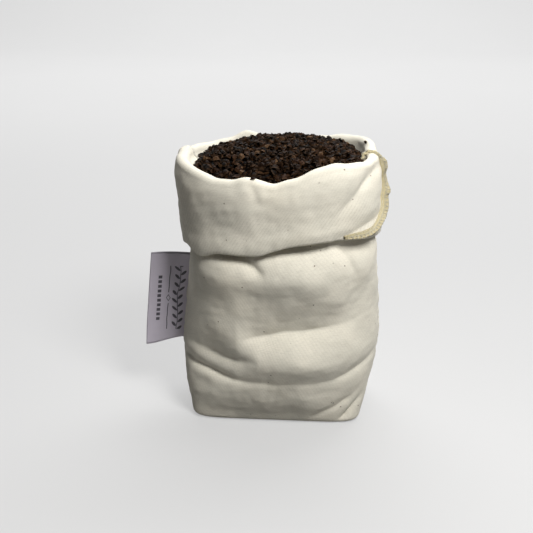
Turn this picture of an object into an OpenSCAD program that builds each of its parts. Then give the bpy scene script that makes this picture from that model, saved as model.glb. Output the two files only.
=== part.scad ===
// A small twill bag with a squared base, its mouth turned down into a cuff,
// filled to the brim with loose buckwheat hulls. A folded label is sewn into
// the left side seam. +Z is up, the front faces -Y, and the origin is the
// middle of the base on the surface that the bag stands on. Millimetres.

/* [Bag body] */
// Width of the bag at its belly
body_w = 107; // [90:1:128]
// Depth of the bag at its belly, front to back
body_d = 78; // [65:1:94]
// Width of the squared base
base_w = 87; // [73:1:100]
// Depth of the squared base
base_d = 52; // [44:1:62]
// Height of the rim at the middle of the mouth
rim_z = 144; // [120:1:172]
// Height of the belly as a share of the wall below the cuff
belly_at = 0.55; // [0.45:0.05:0.7]
// Thickness of one ply of the twill
cloth_t = 0.8; // [0.6:0.05:0.9]
// How much higher the rim is at the back than at the front
rim_rise = 5; // [0:0.5:8]

/* [Turned-down cuff] */
// Height of the cuff, from the rim fold to its lower fold
cuff_h = 40; // [34:1:48]
// Distance from the bag wall to the cuff, ply middle to ply middle
cuff_stand = 3; // [2.9:0.1:3.6]
// How far the raw mouth edge is tucked up under the cuff
hem_turn = 12; // [8:1:16]
// How far the neck under the cuff is drawn in
neck_in = 4; // [2:0.5:5]
// How far the mouth opens outwards above the neck
mouth_flare = 1.5; // [0:0.5:3]

/* [Seams and thread] */
// Width of the seam allowances
allowance_w = 7; // [5.5:0.5:8.5]
// Diameter of the sewing thread
thread_d = 0.4; // [0.3:0.05:0.45]
// Length from one lockstitch to the next
stitch_pitch = 3; // [2.4:0.1:4]
// Distance from one overlock loop to the next
overlock_pitch = 2.4; // [2:0.1:3]
// How far an overlock loop reaches in from the raw edge
overlock_w = 4; // [3:0.25:5]

/* [Side label] */
// How far the label stands out of the seam
label_w = 21; // [16:1:26]
// Height of the label
label_h = 50; // [40:1:52]
// Thickness of one leaf of the folded label
leaf_t = 0.3; // [0.2:0.05:0.5]
// How far the label's top is below the cuff
label_drop = 15; // [12:1:18]

/* [Hull filling] */
// Depth of the hulls' edge below the rim
fill_drop = 6; // [4:1:12]
// How far the hulls are heaped up in the middle
heap_h = 8; // [3:0.5:10]
// Length of one hull
hull_l = 5; // [4:0.25:5.5]
// Width of one hull
hull_w = 3; // [2.2:0.1:3.6]

/* [Hidden] */

cloth_colour = "#e6dfcb";
allowance_colour = "#d8cfa4";
thread_colour = "#efe6c2";
label_colour = "#b3acb8";
hull_colour = "#33231a";

gap = 0.1;                      // between pieces that lie on each other
thread_gap = 0.3;               // under a straight thread on a curved allowance
clearance = 0.3;                // between the filling and what holds it
half_t = cloth_t / 2;
allowance_t = 2 * cloth_t;      // two plies, one from each panel
base_squareness = 6;            // superellipse exponents of the plan
belly_squareness = 2.6;
swell_curve = 1.8;              // how quickly the body widens above the base
round_from = 30;                // height from which the plan is fully round
cuff_z = rim_z - cuff_h;        // height of the cuff's lower fold
belly_z = belly_at * cuff_z;    // height of the widest part of the belly
neck_blend = 0.45 * (cuff_z - belly_z);     // height over which the neck draws in
fold_r = cuff_stand / 2;        // radius of the rim fold
hem_stand = cuff_stand / 2;     // from the cuff to its tucked-up hem
hem_r = hem_stand / 2;
cloth_steps = 18;               // cloth facets round each panel

// ---- the shape of the cloth ---------------------------------------------

function smooth(x) = let (s = max(0, min(1, x))) s * s * (3 - 2 * s);
function swell(z) = z < belly_z ? 1 - pow(1 - z / belly_z, swell_curve) : 1;
function neck(z) = smooth((z - cuff_z + neck_blend) / neck_blend);
function flare(z) = z < cuff_z ? 0 : mouth_flare * pow((z - cuff_z) / cuff_h, 2);

// Half width, half depth and squareness of the middle of the ply at height z
function half_w(z) =
    base_w / 2 + (body_w - base_w) / 2 * swell(z) - neck_in * neck(z) + flare(z) - half_t;
function half_d(z) =
    base_d / 2 + (body_d - base_d) / 2 * swell(z) - neck_in * neck(z) + flare(z) - half_t;
function squareness(z) =
    belly_squareness
    + (base_squareness - belly_squareness) * pow(max(0, 1 - z / round_from), 2);

// The point at angle t of a superellipse with half axes a and b and exponent n
function plan(a, b, n, t) =
    [a * sign(cos(t)) * pow(abs(cos(t)), 2 / n),
     b * sign(sin(t)) * pow(abs(sin(t)), 2 / n)];

// The rim is higher at the back, so every height grows with the depth
function lean(p) = [p[0], p[1], p[2] * (1 + rim_rise * p[1] / (body_d * rim_z))];

// The cloth runs from the base seam, up the wall, over the rim, down the cuff
// and up again under it to the raw edge of the mouth. Each station is
// [half width, half depth, height, squareness] of the middle of the ply.
wall_heights = concat(
    [for (share = [0.03, 0.07, 0.14, 0.24, 0.38, 0.55, 0.76, 1]) share * belly_z],
    [(belly_z + cuff_z - neck_blend) / 2],
    [for (share = [1, 0.67, 0.33]) cuff_z - share * neck_blend],
    [for (share = [0, 0.23, 0.5, 0.77, 0.91]) cuff_z + share * cuff_h]);
cuff_heights = [for (share = [0.8, 0.6, 0.32, 0.07]) cuff_z + share * cuff_h];
rim_w = half_w(rim_z);
rim_d = half_d(rim_z);
base_path = [for (share = [0, 0.5, 0.9])
    [base_w / 2 - 2 + share, share * base_d / 2, half_t, base_squareness]];
wall_path = [for (z = wall_heights) [half_w(z), half_d(z), z, squareness(z)]];
rim_path = [for (f = [0 : 36 : 180])
    let (out = fold_r * (1 - cos(f)), z = rim_z - fold_r - half_t + fold_r * sin(f))
    [rim_w + out, rim_d + out, z, belly_squareness]];
cuff_path = [for (z = cuff_heights)
    let (out = cuff_stand - mouth_flare + flare(z))
    [rim_w + out, rim_d + out, z, belly_squareness]];
hem_path = [for (f = [0 : 60 : 180])
    let (out = cuff_stand - mouth_flare - hem_r * (1 - cos(f)),
         z = cuff_z + hem_r + half_t - hem_r * sin(f))
    [rim_w + out, rim_d + out, z, belly_squareness]];
raw_out = cuff_stand - mouth_flare - hem_stand;
raw_edge = [rim_w + raw_out, rim_d + raw_out, cuff_z + hem_turn, belly_squareness];
cloth_path = concat(base_path, wall_path, rim_path, cuff_path, hem_path, [raw_edge]);

// Direction of the cloth's face side at station i, as [outwards, up]
function face_side(path, i) =
    let (a = path[max(0, i - 1)],
         b = path[min(len(path) - 1, i + 1)],
         run = [b[1] - a[1], b[2] - a[2]])
    [run[1], -run[0]] / norm(run);

// The point at station i and angle t, moved by d towards the face side
function cloth_point(path, i, t, d) =
    let (s = path[i],
         n = face_side(path, i),
         p = plan(s[0] + d * n[0], s[1] + d * n[0], s[3], t))
    lean([p[0], p[1], s[2] + d * n[1]]);

// ---- general solids -----------------------------------------------------

// A closed solid through rings that all have the same even number of points.
// Each end is closed by strips from one half of its ring to the other.
module ring_sweep(rings) {
    k = len(rings[0]);
    end = (len(rings) - 1) * k;
    // the diagonals mirror about the middle, so none falls on a straight end edge
    sides = [for (i = [0 : len(rings) - 2], j = [0 : k - 1])
        let (a = i * k + j, b = i * k + (j + 1) % k,
             rising = (i < len(rings) / 2) == (j < k / 2))
        each rising ? [[a, a + k, b + k], [a, b + k, b]] : [[a, a + k, b], [b, a + k, b + k]]];
    strips = [for (j = [0 : k / 2 - 2])
        each [[j, j + 1, k - 1 - j], [j + 1, k - 2 - j, k - 1 - j]]];
    ends = [for (f = strips)
        each [f, [end + f[2], end + f[1], end + f[0]]]];
    polyhedron([for (r = rings) each r], concat(sides, ends));
}

// A straight length of thread from p to q
module thread(p, q) {
    v = q - p;
    translate(p)
        rotate([0, acos(v[2] / norm(v)), atan2(v[1], v[0])])
            cylinder(h = norm(v), d = thread_d, $fn = 16);
}

// Length along a line of points up to each of them
function lengths(line) =
    [for (i = 0, s = 0; i < len(line); i = i + 1, s = s + norm(line[min(i, len(line) - 1)] - line[i - 1])) s];

// The point at length s along a line of points
function at_length(line, s) =
    let (run = lengths(line))
    [for (k = [0 : 2]) lookup(s, [for (i = [0 : len(line) - 1]) [run[i], line[i][k]]])];

function total_length(line) = lengths(line)[len(line) - 1];

// Lockstitches end to end along a line, each three quarters of the pitch long
module stitch_row(line) {
    stitch = 0.75 * stitch_pitch;
    for (s = [stitch_pitch : stitch_pitch : total_length(line) - stitch_pitch])
        thread(at_length(line, s), at_length(line, s + stitch));
}

// Slanting overlock loops between the raw edge and a line further in
module overlock_row(edge, inner) {
    loops = floor(total_length(edge) / overlock_pitch);
    for (i = [1 : loops - 1])
        thread(at_length(edge, i / loops * total_length(edge)),
               at_length(inner, (i + 0.35) / loops * total_length(inner)));
}

// ---- cloth panels -------------------------------------------------------

// Half of the bag, from angle start round to start + 180
module panel(start) {
    last = len(cloth_path) - 1;
    color(cloth_colour)
        ring_sweep([for (j = [0 : cloth_steps])
            let (t = start + 180 * j / cloth_steps)
            concat([for (i = [0 : last]) cloth_point(cloth_path, i, t, half_t)],
                   [for (i = [last : -1 : 0]) cloth_point(cloth_path, i, t, -half_t)])]);
}

module front_panel() panel(180);
module back_panel() panel(0);

// ---- side seams ---------------------------------------------------------

// The side seams run along these stations of the cloth: wall, rim and cuff
seam_from = len(base_path) + 1;
seam_to = len(base_path) + len(wall_path) + len(rim_path) + len(cuff_path) - 1;
rim_from = len(base_path) + len(wall_path);
rim_to = rim_from + len(rim_path) - 1;

// A point beside a side seam, on the flat of the panel's first facet: side is
// -1 or 1, w is the distance from the seam towards the back, and d the distance
// from the ply to its reverse side
function seam_point(i, side, w, d) =
    let (s = cloth_path[i],
         n = face_side(cloth_path, i),
         a = s[0] - d * n[0],
         facet = plan(a, s[1] - d * n[0], s[3], 180 / cloth_steps))
    lean([side * (a + (facet[0] - a) * w / facet[1]), w, s[2] - d * n[1]]);

near = half_t + gap;                 // the allowance's two faces when it lies flat
far = near + allowance_t;
tip = near + allowance_w;            // its raw edge when it stands on the cuff
stand_lean = 2.5;                    // how far a standing edge leans to the back
over = thread_gap + thread_d / 2;    // from a face to the thread lying on it

// The share to which an allowance stands up at station i
function standing(i, stands) =
    stands ? smooth((i - rim_from) / (rim_to - rim_from)) : 0;

// A point of an allowance, between its places lying flat and standing up
function seam_blend(i, side, stands, flat, up) =
    let (k = standing(i, stands), at = flat * (1 - k) + up * k)
    seam_point(i, side, at[0], at[1]);

module seam_allowance(side, stands) {
    flat = [[0, near], [allowance_w, near], [allowance_w, far], [0, far]];
    up = [[allowance_t, near], [allowance_t + stand_lean, tip], [stand_lean, tip], [0, near]];
    order = side > 0 ? [0, 1, 2, 3] : [3, 2, 1, 0];
    color(allowance_colour)
        ring_sweep([for (i = [seam_from : seam_to])
            [for (j = order) seam_blend(i, side, stands, flat[j], up[j])]]);
}

// A line along the seam, w in from the seam on the allowance's open face
function seam_line(side, stands, w) =
    let (share = w / allowance_w)
    [for (i = [seam_from : seam_to])
        seam_blend(i, side, stands, [w, far + over],
                   [stand_lean * share - over, near + w])];

module left_seam_allowance() seam_allowance(-1, false);
module right_seam_allowance() seam_allowance(1, true);

module side_stitches(side, stands) {
    color(thread_colour) stitch_row(seam_line(side, stands, 1));
}
module left_side_stitches() side_stitches(-1, false);
module right_side_stitches() side_stitches(1, true);

module side_overlock(side, stands) {
    color(thread_colour)
        overlock_row(seam_line(side, stands, allowance_w),
                     seam_line(side, stands, allowance_w - overlock_w));
}
module left_overlock_thread() side_overlock(-1, false);
module right_overlock_thread() side_overlock(1, true);

// The raw edge of the mouth is overlocked too, on the side that faces the cuff
module mouth_overlock_thread() {
    top = cuff_z + hem_turn;
    out = raw_out + half_t + gap + thread_d / 2;
    loops = round(4 * (rim_w + rim_d) / overlock_pitch / 2);
    color(thread_colour)
        for (i = [0 : loops - 1]) {
            t = 360 * (i + 0.5) / loops;
            p = plan(rim_w + out, rim_d + out, belly_squareness, t);
            thread(lean([p[0], p[1], top - overlock_w]), lean([p[0], p[1], top]));
        }
}

// ---- base and corner seams ----------------------------------------------

floor_z = cloth_t + gap;             // on the inside of the base
base_seam_x = base_w / 2 - allowance_w - 6;
corner_x = base_w / 2 - 3 - allowance_w;
corner_y = base_d / 2 - 8;

module base_seam_allowance() {
    color(allowance_colour)
        translate([-base_seam_x, 0, floor_z])
            cube([2 * base_seam_x, allowance_w, allowance_t]);
}

module corner_allowance(side) {
    color(allowance_colour)
        translate([side > 0 ? corner_x : -corner_x - allowance_w, -corner_y, floor_z])
            cube([allowance_w, 2 * corner_y, allowance_t]);
}
module left_corner_allowance() corner_allowance(-1);
module right_corner_allowance() corner_allowance(1);

flat_stitch_z = floor_z + allowance_t + over;

module base_seam_stitches() {
    color(thread_colour)
        stitch_row([[-base_seam_x, 1, flat_stitch_z], [base_seam_x, 1, flat_stitch_z]]);
}

module corner_stitches(side) {
    x = side * (corner_x + allowance_w - 1);
    color(thread_colour)
        stitch_row([[x, -corner_y, flat_stitch_z], [x, corner_y, flat_stitch_z]]);
}
module left_corner_stitches() corner_stitches(-1);
module right_corner_stitches() corner_stitches(1);

// ---- label --------------------------------------------------------------

label_bottom = cuff_z - label_drop - label_h;
hinge_x = body_w / 2 + 1.5;          // the line about which the label turns
leaf_gap = 0.3;                      // between the label's two leaves
label_t = 2 * leaf_t + leaf_gap;

// The folded label, its fold at the outer end and its leaves pressed together
// in a rounded edge along the line about which it turns
module side_label() {
    fold = label_w - label_t / 2;
    color(label_colour)
        translate([-hinge_x, 0, label_bottom])
            linear_extrude(label_h)
                difference() {
                    union() {
                        translate([-fold, -label_t / 2]) square([fold, label_t]);
                        translate([-fold, 0]) circle(d = label_t, $fn = 32);
                        circle(d = label_t, $fn = 32);
                    }
                    translate([-fold, -leaf_gap / 2]) square([fold - label_t, leaf_gap]);
                    translate([-fold, 0]) circle(d = leaf_gap, $fn = 32);
                }
}

// The label's inner end, from the seam to the line about which it turns
module label_sewn_edge() {
    steps = 10;
    end_x = -hinge_x + label_t / 2 + gap;
    wall = [for (i = [0 : steps])
        let (z = label_bottom + label_h * i / steps)
        [-half_w(z) - half_t - clearance, z]];
    color(label_colour)
        translate([0, label_t / 2, 0])
            rotate([90, 0, 0])
                linear_extrude(label_t)
                    polygon(concat(wall, [[end_x, label_bottom + label_h],
                                          [end_x, label_bottom]]));
}

// ---- hulls --------------------------------------------------------------

fill_z = rim_z - fill_drop;          // height of the filling's edge
fill_top_w = half_w(fill_z) - half_t - clearance;
fill_top_d = half_d(fill_z) - half_t - clearance;

function heap_z(share) = fill_z + heap_h * (1 - share * share);

function fill_ring(a, b, n, z) =
    [for (j = [0 : 2 * cloth_steps - 1])
        let (p = plan(a, b, n, 180 * j / cloth_steps)) lean([p[0], p[1], z])];

// The bulk of the hulls, in the shape that the bag gives it
module fill_block() {
    floor = cloth_t + clearance;
    inset = half_t + clearance;
    heights = [for (z = wall_heights) if (z > floor && z < fill_z) z];
    ring_sweep(concat(
        [fill_ring(base_w / 2 - 2.5, base_d / 2 - 2.5, base_squareness, floor)],
        [for (z = heights) if (z > 3) fill_ring(half_w(z) - inset, half_d(z) - inset, squareness(z), z)],
        [for (s = [1, 0.85, 0.65, 0.4, 0.1])
            fill_ring(s * fill_top_w, s * fill_top_d, belly_squareness, heap_z(s))]));
}

// Room for a side seam's allowance and its thread
module seam_room(side) {
    deep = far + thread_gap + thread_d + clearance;
    room = [[-clearance, 0], [allowance_w + clearance + thread_d, 0],
            [allowance_w + clearance + thread_d, deep], [-clearance, deep]];
    order = side > 0 ? [0, 1, 2, 3] : [3, 2, 1, 0];
    ring_sweep([for (i = [seam_from - 1 : rim_from])
        [for (j = order) seam_point(i, side, room[j][0], room[j][1])]]);
}

module flat_room(x, y, w, d) {
    translate([x - clearance, y - clearance, 0])
        cube([w + 2 * clearance, d + 2 * clearance,
              flat_stitch_z + thread_d / 2 + clearance]);
}

module hull_filling() {
    color(hull_colour)
        difference() {
            fill_block();
            seam_room(-1);
            seam_room(1);
            flat_room(-base_seam_x, 0, 2 * base_seam_x, allowance_w);
            flat_room(corner_x, -corner_y, allowance_w, 2 * corner_y);
            flat_room(-corner_x - allowance_w, -corner_y, allowance_w, 2 * corner_y);
        }
}

hull_cup = 0.3 * hull_w;             // how deep a hull is cupped
hull_t = 0.35;

// One hull: a pointed, cupped leaf lying on its back
module hull() {
    l = hull_l / 2;
    w = hull_w / 2;
    polyhedron(
        [[-l, 0, 0], [l, 0, 0], [0, -w, 0], [0, w, 0], [0, 0, -hull_cup], [0, 0, hull_t - hull_cup]],
        [[0, 4, 2], [2, 4, 1], [1, 4, 3], [3, 4, 0],
         [0, 2, 5], [2, 1, 5], [1, 3, 5], [3, 0, 5]]);
}

// Hulls side by side over the heap, each turned and tilted its own way
module top_hulls() {
    pitch = hull_l + 1.2;
    row = pitch * sin(60);
    edge = hull_l / 2 + allowance_t + thread_d + 2 * clearance;
    a = fill_top_w - edge;
    b = fill_top_d - edge;
    rows = floor(b / row);
    cols = floor(a / pitch) + 1;
    turns = rands(0, 360, (2 * rows + 1) * (2 * cols + 1), 7);
    tilts = rands(-12, 12, (2 * rows + 1) * (2 * cols + 1), 8);
    color(hull_colour)
        for (r = [-rows : rows], c = [-cols : cols]) {
            x = (c + (r % 2 == 0 ? 0 : 0.5)) * pitch;
            y = r * row;
            share = pow(pow(abs(x) / a, belly_squareness) + pow(abs(y) / b, belly_squareness),
                        1 / belly_squareness);
            k = (r + rows) * (2 * cols + 1) + c + cols;
            if (share <= 1)
                translate(lean([x, y, heap_z(share * a / fill_top_w)]) + [0, 0, hull_cup + 0.9])
                    rotate([tilts[k], 0, turns[k]]) hull();
        }
}

// A few hulls that have landed on the rim fold, as [angle, turn]
module stray_hulls() {
    strays = [[258, 20], [158, 75], [28, 40], [330, 110]];
    color(hull_colour)
        for (s = strays) {
            p = plan(rim_w + fold_r, rim_d + fold_r, belly_squareness, s[0]);
            translate(lean([p[0], p[1], rim_z]) + [0, 0, hull_cup + clearance])
                rotate([0, 0, s[1]]) hull();
        }
}

// ---- the bag ------------------------------------------------------------

front_panel();
back_panel();
left_seam_allowance();
right_seam_allowance();
base_seam_allowance();
left_corner_allowance();
right_corner_allowance();
left_side_stitches();
right_side_stitches();
base_seam_stitches();
left_corner_stitches();
right_corner_stitches();
left_overlock_thread();
right_overlock_thread();
mouth_overlock_thread();
side_label();
label_sewn_edge();
hull_filling();
top_hulls();
stray_hulls();
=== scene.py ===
import bpy
import numpy as np
from mathutils import Matrix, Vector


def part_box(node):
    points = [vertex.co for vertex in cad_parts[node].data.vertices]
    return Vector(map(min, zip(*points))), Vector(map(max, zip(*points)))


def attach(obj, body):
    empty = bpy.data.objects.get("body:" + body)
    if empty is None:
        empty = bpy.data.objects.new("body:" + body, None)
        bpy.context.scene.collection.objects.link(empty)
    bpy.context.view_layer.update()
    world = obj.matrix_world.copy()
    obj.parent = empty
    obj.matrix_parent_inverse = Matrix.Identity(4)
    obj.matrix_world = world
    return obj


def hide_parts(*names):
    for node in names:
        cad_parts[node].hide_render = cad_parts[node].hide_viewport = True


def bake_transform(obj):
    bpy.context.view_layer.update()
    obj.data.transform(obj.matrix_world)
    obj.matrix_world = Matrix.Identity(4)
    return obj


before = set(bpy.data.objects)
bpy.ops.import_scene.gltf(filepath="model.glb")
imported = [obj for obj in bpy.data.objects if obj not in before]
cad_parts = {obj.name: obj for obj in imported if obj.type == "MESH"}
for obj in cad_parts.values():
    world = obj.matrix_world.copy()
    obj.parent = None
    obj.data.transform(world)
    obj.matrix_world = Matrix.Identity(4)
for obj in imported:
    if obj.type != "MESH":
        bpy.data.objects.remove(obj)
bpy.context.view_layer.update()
mm = 0.001
pi = np.pi

# camera, light and floor

studio = {
    "azimuth": 4.0,          # degrees round from the front, towards the right
    "elevation": 23.0,
    "distance": 0.440,
    "aim": (0.0, 0.0, 0.072),
    "lens": 54.0,
    "shift": (-0.026, 0.032),
    "world": (1.0, 0.965, 0.93), "worldLight": 0.055, "worldSeen": 0.80,
    # name, place, aim, width, height, watts, colour
    "lights": [
        ("key", (0.175, -0.245, 0.440), (0.0, 0.0, 0.08), 0.14, 0.14, 2.3, (1.0, 0.99, 0.97)),
        ("side", (0.62, 0.50, 0.62), (0.0, 0.0, 0.08), 0.30, 0.30, 0.9, (0.98, 0.99, 1.0)),
        ("back", (0.0, 1.3, 1.5), (0.0, 1.1, 0.0), 2.4, 1.2, 50.0, (1.0, 1.0, 1.0)),
    ],
}


def unit(v):
    # each vector over its length
    v = np.asarray(v, float)
    return v / np.maximum(np.linalg.norm(v, axis=-1, keepdims=True), 1e-12)


def aimed(thing, place, aim):
    # turns a camera or light so that its -Z looks from place to aim, with its +Y upwards
    back = unit(np.subtract(place, aim))
    right = unit(np.cross((0, 0, 1), back))
    up = np.cross(back, right)
    turn = np.eye(4)
    turn[:3, 0], turn[:3, 1], turn[:3, 2], turn[:3, 3] = right, up, back, place
    thing.matrix_world = Matrix(turn.tolist())


def makeStudio():
    scene = bpy.context.scene
    az, el = np.radians((studio["azimuth"], studio["elevation"]))
    away = np.array((np.sin(az) * np.cos(el), -np.cos(az) * np.cos(el), np.sin(el)))
    camera = bpy.data.objects.new("camera", bpy.data.cameras.new("camera"))
    camera.data.lens = studio["lens"]
    camera.data.sensor_width = 36.0
    camera.data.clip_start = 0.01
    camera.data.shift_x, camera.data.shift_y = studio["shift"]
    scene.collection.objects.link(camera)
    aimed(camera, np.array(studio["aim"]) + away * studio["distance"], studio["aim"])
    scene.camera = camera
    for name, place, aim, width, height, watts, colour in studio["lights"]:
        lamp = bpy.data.lights.new(name, "AREA")
        lamp.shape, lamp.size, lamp.size_y = "RECTANGLE", width, height
        lamp.energy, lamp.color = watts, colour
        light = bpy.data.objects.new(name, lamp)
        scene.collection.objects.link(light)
        aimed(light, place, aim)
    world = bpy.data.worlds.new("studio")
    world.use_nodes = True
    # the world is pale where it is seen, and gives little light
    nodes, links = world.node_tree.nodes, world.node_tree.links
    background, seen = nodes["Background"], nodes.new("ShaderNodeLightPath")
    strength = nodes.new("ShaderNodeMapRange")
    strength.inputs["To Min"].default_value = studio["worldLight"]
    strength.inputs["To Max"].default_value = studio["worldSeen"]
    links.new(seen.outputs["Is Camera Ray"], strength.inputs["Value"])
    links.new(strength.outputs["Result"], background.inputs["Strength"])
    background.inputs["Color"].default_value = (*studio["world"], 1.0)
    scene.world = world
    scene.view_settings.view_transform = "Standard"


makeStudio()
print("studio ready")

# materials, written as expressions


def mathNode(operation):
    # a method that adds a Math node
    return lambda wire, *others: wire.shader.add("ShaderNodeMath", {"operation": operation},
                                                 [wire, *others])


class Wire:
    # a node's output; its operators add Math nodes
    def __init__(self, shader, socket):
        self.shader, self.socket = shader, socket

    __add__ = __radd__ = mathNode("ADD")
    __sub__ = mathNode("SUBTRACT")
    __mul__ = __rmul__ = mathNode("MULTIPLY")
    __truediv__ = mathNode("DIVIDE")
    __pow__ = mathNode("POWER")
    sine = mathNode("SINE")
    size = mathNode("ABSOLUTE")
    fraction = mathNode("FRACT")
    most = mathNode("MAXIMUM")

    def __rsub__(self, other):
        return self.shader.add("ShaderNodeMath", {"operation": "SUBTRACT"}, [other, self])

    def ramp(self, low, high, atLow=0.0, atHigh=1.0):
        # a smooth step from atLow to atHigh as the value goes from low to high
        return self.shader.add("ShaderNodeMapRange", {"interpolation_type": "SMOOTHSTEP"},
                               [self, low, high, atLow, atHigh])

    def band(self, inner, outer):
        # 1 closer to zero than inner, and 0 past outer
        return self.size().ramp(inner, outer, 1.0, 0.0)


class Shader:
    # one material with a Principled shader
    def __init__(self, name, **fixed):
        self.material = bpy.data.materials.new(name)
        self.material.use_nodes = True
        self.tree = self.material.node_tree
        self.surface = self.tree.nodes["Principled BSDF"]
        for key, value in fixed.items():
            self.surface.inputs[key.replace("_", " ")].default_value = value

    def add(self, kind, settings, values, output=0):
        node = self.tree.nodes.new(kind)
        for key, value in settings.items():
            setattr(node, key, value)
        pairs = values.items() if isinstance(values, dict) else enumerate(values)
        for key, value in pairs:
            if isinstance(value, Wire):
                self.tree.links.new(value.socket, node.inputs[key])
            elif value is not None:
                node.inputs[key].default_value = value
        return Wire(self, node.outputs[output])

    def mix(self, share, low, high, blend="MIX"):
        low, high = ((*c, 1.0) if isinstance(c, tuple) and len(c) == 3 else c for c in (low, high))
        return self.add("ShaderNodeMix", {"data_type": "RGBA", "blend_type": blend},
                        {0: share, 6: low, 7: high}, 2)

    def place(self):
        return self.add("ShaderNodeTexCoord", {}, [], 3)

    def attribute(self, name, output=2):
        return self.add("ShaderNodeAttribute", {"attribute_name": name}, [], output)

    def clothCoordinates(self):
        # across and along the cloth, in millimetres
        uv = self.add("ShaderNodeUVMap", {"uv_map": "cloth"}, [])
        return [self.add("ShaderNodeSeparateXYZ", {}, [uv], k) * 1000.0 for k in (0, 1)]

    def vector(self, x, y, z=0.0):
        return self.add("ShaderNodeCombineXYZ", {}, [x, y, z])

    def noise(self, at, scale, detail=2.0, roughness=0.5):
        return self.add("ShaderNodeTexNoise", {}, {"Vector": at, "Scale": scale, "Detail": detail,
                                                    "Roughness": roughness})

    def cells(self, at, scale, output=0):
        return self.add("ShaderNodeTexVoronoi", {}, {"Vector": at, "Scale": scale}, output)

    def brighter(self, colour, amount):
        # the colour times a value
        return self.add("ShaderNodeVectorMath", {"operation": "SCALE"},
                        {0: colour, "Scale": amount})

    def finish(self, colour=None, roughness=None, height=None, depth=mm, strength=1.0):
        for key, wire in (("Base Color", colour), ("Roughness", roughness)):
            if wire is not None:
                self.tree.links.new(wire.socket, self.surface.inputs[key])
        if height is not None:
            bump = self.add("ShaderNodeBump", {}, {"Strength": strength, "Distance": depth,
                                                    "Height": height})
            self.tree.links.new(bump.socket, self.surface.inputs["Normal"])
        return self.material


twill = {
    "warpPitch": 0.46, "weftPitch": 0.74, "repeat": 4.0,     # millimetres, yarns to a wale
    "boldFrom": 186.0, "boldBy": 200.0, "plainSide": 0.36,   # along the cloth, share of the relief
    "relief": 0.14, "specksPerMm": 0.2,
    "cream": (0.76, 0.722, 0.62), "grey": (0.71, 0.68, 0.585), "warm": (0.76, 0.71, 0.595),
    # groove: the colour of the painted shade in the dips between the wales
    "groove": (0.42, 0.385, 0.30), "fleck": (0.10, 0.06, 0.035),
}


def twillMaterial(name, tint=(1.0, 1.0, 1.0), wales=1.0):
    s = Shader(name, Roughness=0.85, Sheen_Weight=0.10, Sheen_Roughness=0.5,
               Specular_IOR_Level=0.15)
    across, along = s.clothCoordinates()
    flat = s.vector(across, along)
    waver = s.noise(s.vector(across * 0.12, along * 0.05), 1.0, 2.0) - 0.5
    warp = across / twill["warpPitch"] + waver * 0.6
    weft = along / twill["weftPitch"] + waver * 0.5
    # a wale every few yarns, the ridges of the warp floats and the dips of the picks
    wale = ((warp + weft) * (pi / twill["repeat"])).sine().size()
    yarn = (warp * pi).sine().size()
    pick = ((weft + wale * 0.4) * pi).sine().size()
    slub = s.noise(s.vector(across * 0.30, along * 2.4), 1.0, 3.0)
    # the cuff shows the side with the bolder wales
    bold = along.ramp(twill["boldFrom"], twill["boldBy"], twill["plainSide"], 1.0)
    height = wale ** 0.7 * bold * 0.62 + yarn * 0.2 + pick * 0.16 + slub * 0.6
    blotch = s.noise(flat, 0.055, 3.0)
    fibre = s.noise(s.vector(across * 1.6, along * 0.5), 1.6, 4.0, 0.6)
    colour = s.mix(blotch.ramp(0.35, 0.7), twill["grey"], twill["cream"])
    colour = s.mix(s.noise(s.vector(across, along, 7.0), 0.03, 2.0).ramp(0.45, 0.75, 0.0, 0.6),
                   colour, twill["warm"])
    patchy = s.noise(s.vector(across * 0.9, along * 0.9, 3.0), 1.0, 2.0)
    patchy = patchy.ramp(0.35, 0.65, 0.25, 1.0)
    # painted shade: the dips between the wales are darkened towards the groove colour, more on the
    # cuff's bolder side; wales sets how much
    dip = (1.0 - wale.ramp(0.0, 0.75)) * (fibre * 0.9 + 0.1) * patchy
    colour = s.mix(dip * bold * (wales * 0.6), colour, twill["groove"])
    colour = s.brighter(colour, fibre * 0.26 + slub * 0.30 + 0.72)
    # scattered bits of seed coat
    spot = s.cells(flat, twill["specksPerMm"])
    chance = s.cells(flat, twill["specksPerMm"], 1)
    chosen = s.add("ShaderNodeSeparateColor", {}, [chance], 0)
    shape = spot + (s.noise(flat, 2.5, 2.0) - 0.5) * 0.05
    fleck = shape.ramp(0.05, 0.10, 1.0, 0.0) * chosen.ramp(0.40, 0.75)
    colour = s.mix(fleck * 0.8, colour, twill["fleck"])
    colour = s.mix(1.0, colour, tint, "MULTIPLY")
    rough = wale * -0.08 + 0.92
    return s.finish(colour, rough, height, twill["relief"] * mm, 0.8)


def threadMaterial(name, colour):
    s = Shader(name, Roughness=0.7, Sheen_Weight=0.3, Specular_IOR_Level=0.3)
    across, along = s.clothCoordinates()
    twist = ((along * 1.4 + across * 0.7) * (2 * pi)).sine() * 0.5 + 0.5
    # painted shade: the grooves of the twist are darkened to 0.62 of the colour
    tone = s.mix(twist, tuple(c * 0.62 for c in colour), colour)
    dirt = s.noise(s.place(), 220.0, 3.0)
    return s.finish(s.brighter(tone, dirt * 0.3 + 0.82), None, twist, 0.12 * mm, 0.7)


def innerThreadMaterial(name, colour):
    s = Shader(name, Roughness=0.7, Sheen_Weight=0.3, Specular_IOR_Level=0.3)
    fluff = s.noise(s.place(), 2500.0, 3.0)
    return s.finish(s.mix(fluff, tuple(c * 0.6 for c in colour), colour), None, fluff, 0.1 * mm)


def innerTwillMaterial(name, colour):
    s = Shader(name, Roughness=0.85, Sheen_Weight=0.25, Specular_IOR_Level=0.2)
    at = s.add("ShaderNodeSeparateXYZ", {}, [s.place()], 0)
    up = s.add("ShaderNodeSeparateXYZ", {}, [s.place()], 1)
    wale = ((at * 2600.0 + up * 1600.0) * (pi / twill["repeat"])).sine().size()
    # painted shade: the dips between the wales are darkened to 0.6 of the colour
    tone = s.mix(wale, tuple(c * 0.6 for c in colour), colour)
    return s.finish(tone, None, wale, 0.2 * mm)


# surfaces


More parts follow.
